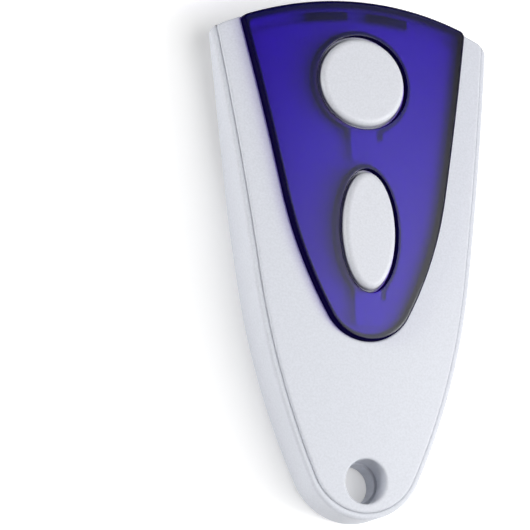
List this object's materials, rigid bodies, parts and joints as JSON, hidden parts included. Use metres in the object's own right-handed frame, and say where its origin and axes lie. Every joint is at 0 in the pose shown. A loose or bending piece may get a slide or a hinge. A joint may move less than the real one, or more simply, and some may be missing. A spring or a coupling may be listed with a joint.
{
  "type": "garage door remote",
  "caption": "Pocket garage door remote: shield-shaped two-tone case with a tinted cover, a round and an oval push button, and a key ring hole at the tip.",
  "frame": {"origin": "under the middle of the outline, on the flat back that the remote lies on", "axes": "+Z out of the face with the buttons, +Y towards the button end, +X to the right seen from the front"},
  "size_m": [0.0436, 0.076, 0.0109],
  "materials": {
    "shell_plastic": "satin, fine grain with a slight sparkle",
    "cover_plastic": "translucent tint, polished",
    "button_plastic": "satin, fine grain with a slight sparkle",
    "cell_steel": "drawn stainless steel",
    "cell_gasket": "moulded",
    "contact_metal": "nickel plate",
    "board_laminate": "solder mask",
    "chip_resin": "moulded resin",
    "capacitor_ceramic": "fired ceramic",
    "tinned_metal": "tin plate",
    "spring_metal": "spring steel",
    "copper": "bare copper",
    "screw_steel": "zinc plate",
    "switch_plastic": "moulded",
    "plunger_plastic": "moulded",
    "lens_resin": "clear resin"
  },
  "bodies": {
    "housing": {"rear_shell": "shell_plastic", "front_frame": "shell_plastic", "tinted_cover": "cover_plastic", "coin_cell_can": "cell_steel", "coin_cell_gasket": "cell_gasket", "coin_cell_cap": "cell_steel", "positive_contact": "contact_metal", "negative_contact": "contact_metal", "circuit_board": "board_laminate", "encoder_chip": "chip_resin", "encoder_pins": "tinned_metal", "resonator_can": "tinned_metal", "chip_resistors": "chip_resin", "chip_capacitors": "capacitor_ceramic", "indicator_lamp": "switch_plastic", "indicator_lens": "lens_resin", "antenna_loop": "copper", "housing_screw": "screw_steel", "upper_switch_base": "switch_plastic", "upper_switch_plate": "tinned_metal", "upper_switch_dome": "spring_metal", "lower_switch_base": "switch_plastic", "lower_switch_plate": "tinned_metal", "lower_switch_dome": "spring_metal"},
    "round_button_body": {"round_button": "button_plastic"},
    "oval_button_body": {"oval_button": "button_plastic"},
    "upper_plunger_body": {"upper_switch_plunger": "plunger_plastic"},
    "lower_plunger_body": {"lower_switch_plunger": "plunger_plastic"},
    "battery_cover_body": {"battery_cover": "shell_plastic"}
  },
  "joints": [
    {"name": "round_button_press", "type": "hinge", "parent": "housing", "child": "round_button_body", "pos_m": [0, 0.0148, 0.0085], "axis": [-1, 0, 0], "range_deg": [0, 1.5], "stiffness_Nm_per_rad": 0.6},
    {"name": "oval_button_press", "type": "hinge", "parent": "housing", "child": "oval_button_body", "pos_m": [0, -0.0093, 0.00872], "axis": [-1, 0, 0], "range_deg": [0, 1.35], "stiffness_Nm_per_rad": 0.6},
    {"name": "upper_plunger_travel", "type": "slide", "parent": "housing", "child": "upper_plunger_body", "axis": [0, 0, -1], "range_m": [0, 0.00034]},
    {"name": "lower_plunger_travel", "type": "slide", "parent": "housing", "child": "lower_plunger_body", "axis": [0, 0, -1], "range_m": [0, 0.00034]},
    {"name": "battery_cover_turn", "type": "hinge", "parent": "housing", "child": "battery_cover_body", "pos_m": [0, -0.009, 0], "axis": [0, 0, -1], "range_deg": [0, 60]}
  ],
  "couplings": [
    {"joint": "upper_plunger_travel", "follows": "round_button_press", "m_per_rad": 0.0108},
    {"joint": "lower_plunger_travel", "follows": "oval_button_press", "m_per_rad": 0.0128}
  ]
}
